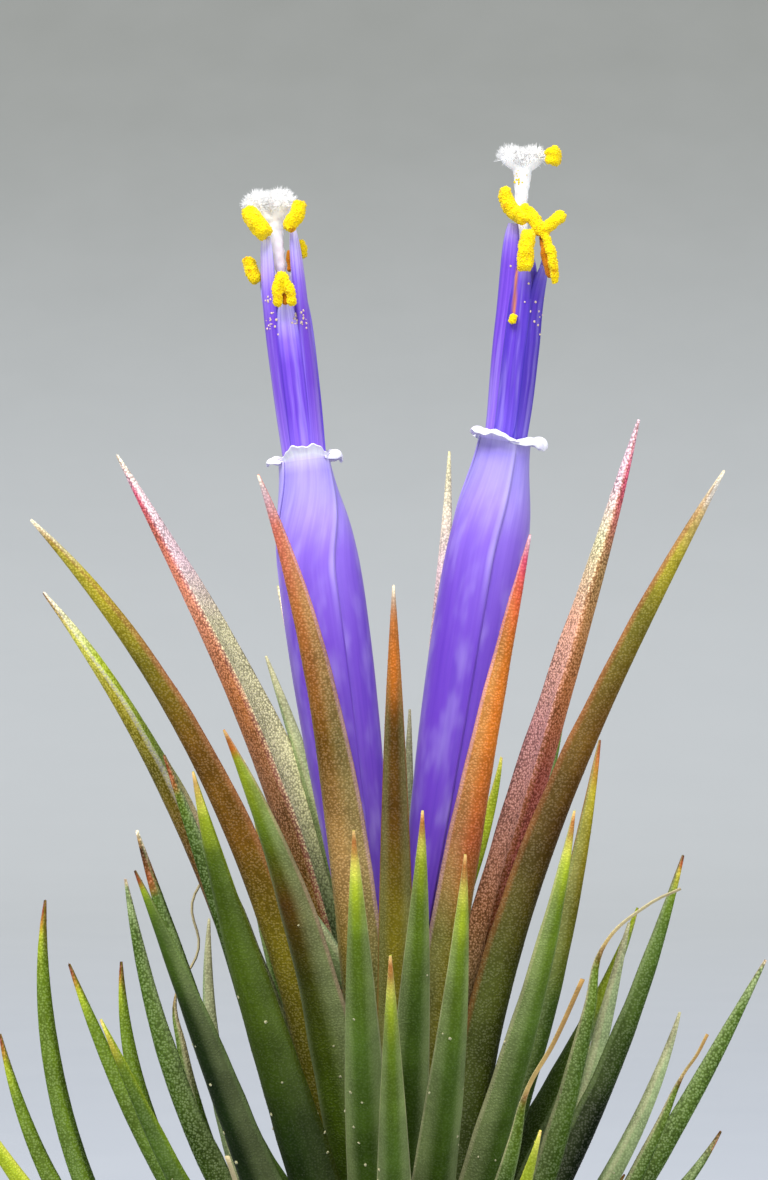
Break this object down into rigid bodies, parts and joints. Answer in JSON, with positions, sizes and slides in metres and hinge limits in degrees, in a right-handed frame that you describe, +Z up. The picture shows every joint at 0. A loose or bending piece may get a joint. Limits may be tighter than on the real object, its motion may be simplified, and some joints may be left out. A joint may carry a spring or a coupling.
{
  "type": "sky plant",
  "caption": "Small clumping air plant in bloom, with pointed channelled leaves blushing red at the heart, and violet tube flowers with yellow pollen and white stigmas.",
  "frame": {"origin": "centre of the flat trimmed underside of the stem, where the plant rests on a surface", "axes": "+Z up along the plant from its foot to the stigmas, -Y towards the viewer of the picture, +X to the right in it"},
  "size_m": [0.0499, 0.0532, 0.0784],
  "materials": {
    "leaf_green": "satin green leaf with fine silvery scales",
    "leaf_blush": "satin leaf blushing from olive to coral red, with fine silvery scales",
    "leaf_heart": "satin pale green young leaf with fine silvery scales",
    "husk": "matt dry brown husk and wiry root",
    "petal": "soft violet petal, paler towards its white turned back tips",
    "filament": "smooth deep violet, paler at the tips",
    "pollen": "matt granular yellow",
    "stigma": "white, covered in fine short hairs"
  },
  "bodies": {
    "root": {"stem": "husk", "heart": "leaf_heart", "leaf_inner_01": "leaf_blush", "leaf_inner_02": "leaf_blush", "leaf_inner_03": "leaf_blush", "leaf_inner_04": "leaf_blush", "leaf_inner_05": "leaf_blush", "leaf_inner_06": "leaf_blush", "leaf_inner_07": "leaf_blush", "leaf_inner_08": "leaf_blush", "leaf_inner_09": "leaf_green", "leaf_inner_10": "leaf_green", "leaf_mid_01": "leaf_green", "leaf_mid_02": "leaf_green", "leaf_mid_03": "leaf_green", "leaf_mid_04": "leaf_green", "leaf_mid_05": "leaf_green", "leaf_mid_06": "leaf_green", "leaf_mid_07": "leaf_green", "leaf_mid_08": "leaf_green", "leaf_mid_09": "leaf_green", "leaf_mid_10": "leaf_green", "leaf_mid_11": "leaf_green", "leaf_mid_12": "leaf_green", "leaf_mid_13": "leaf_green", "leaf_mid_14": "leaf_green", "leaf_mid_15": "leaf_green", "leaf_outer_01": "leaf_green", "leaf_outer_02": "leaf_green", "leaf_outer_03": "leaf_green", "leaf_outer_04": "leaf_green", "leaf_outer_05": "leaf_green", "leaf_outer_06": "leaf_green", "leaf_outer_07": "leaf_green", "leaf_outer_08": "leaf_green", "leaf_outer_09": "leaf_green", "leaf_outer_10": "leaf_green", "leaf_outer_11": "leaf_green", "leaf_outer_12": "leaf_green", "leaf_outer_13": "leaf_green", "leaf_outer_14": "leaf_green", "leaf_outer_15": "leaf_green", "leaf_outer_16": "leaf_green", "leaf_outer_17": "leaf_green", "leaf_outer_18": "leaf_green", "leaf_outer_19": "leaf_green", "leaf_outer_20": "leaf_green", "petals_left": "petal", "petals_right": "petal", "filaments_left": "filament", "filaments_right": "filament", "pistil_left": "stigma", "pistil_right": "stigma", "anther_left_1": "pollen", "anther_left_2": "pollen", "anther_left_3": "pollen", "anther_left_4": "pollen", "anther_left_5": "pollen", "anthers_right": "pollen", "anther_right_top": "pollen"}
  },
  "joints": []
}
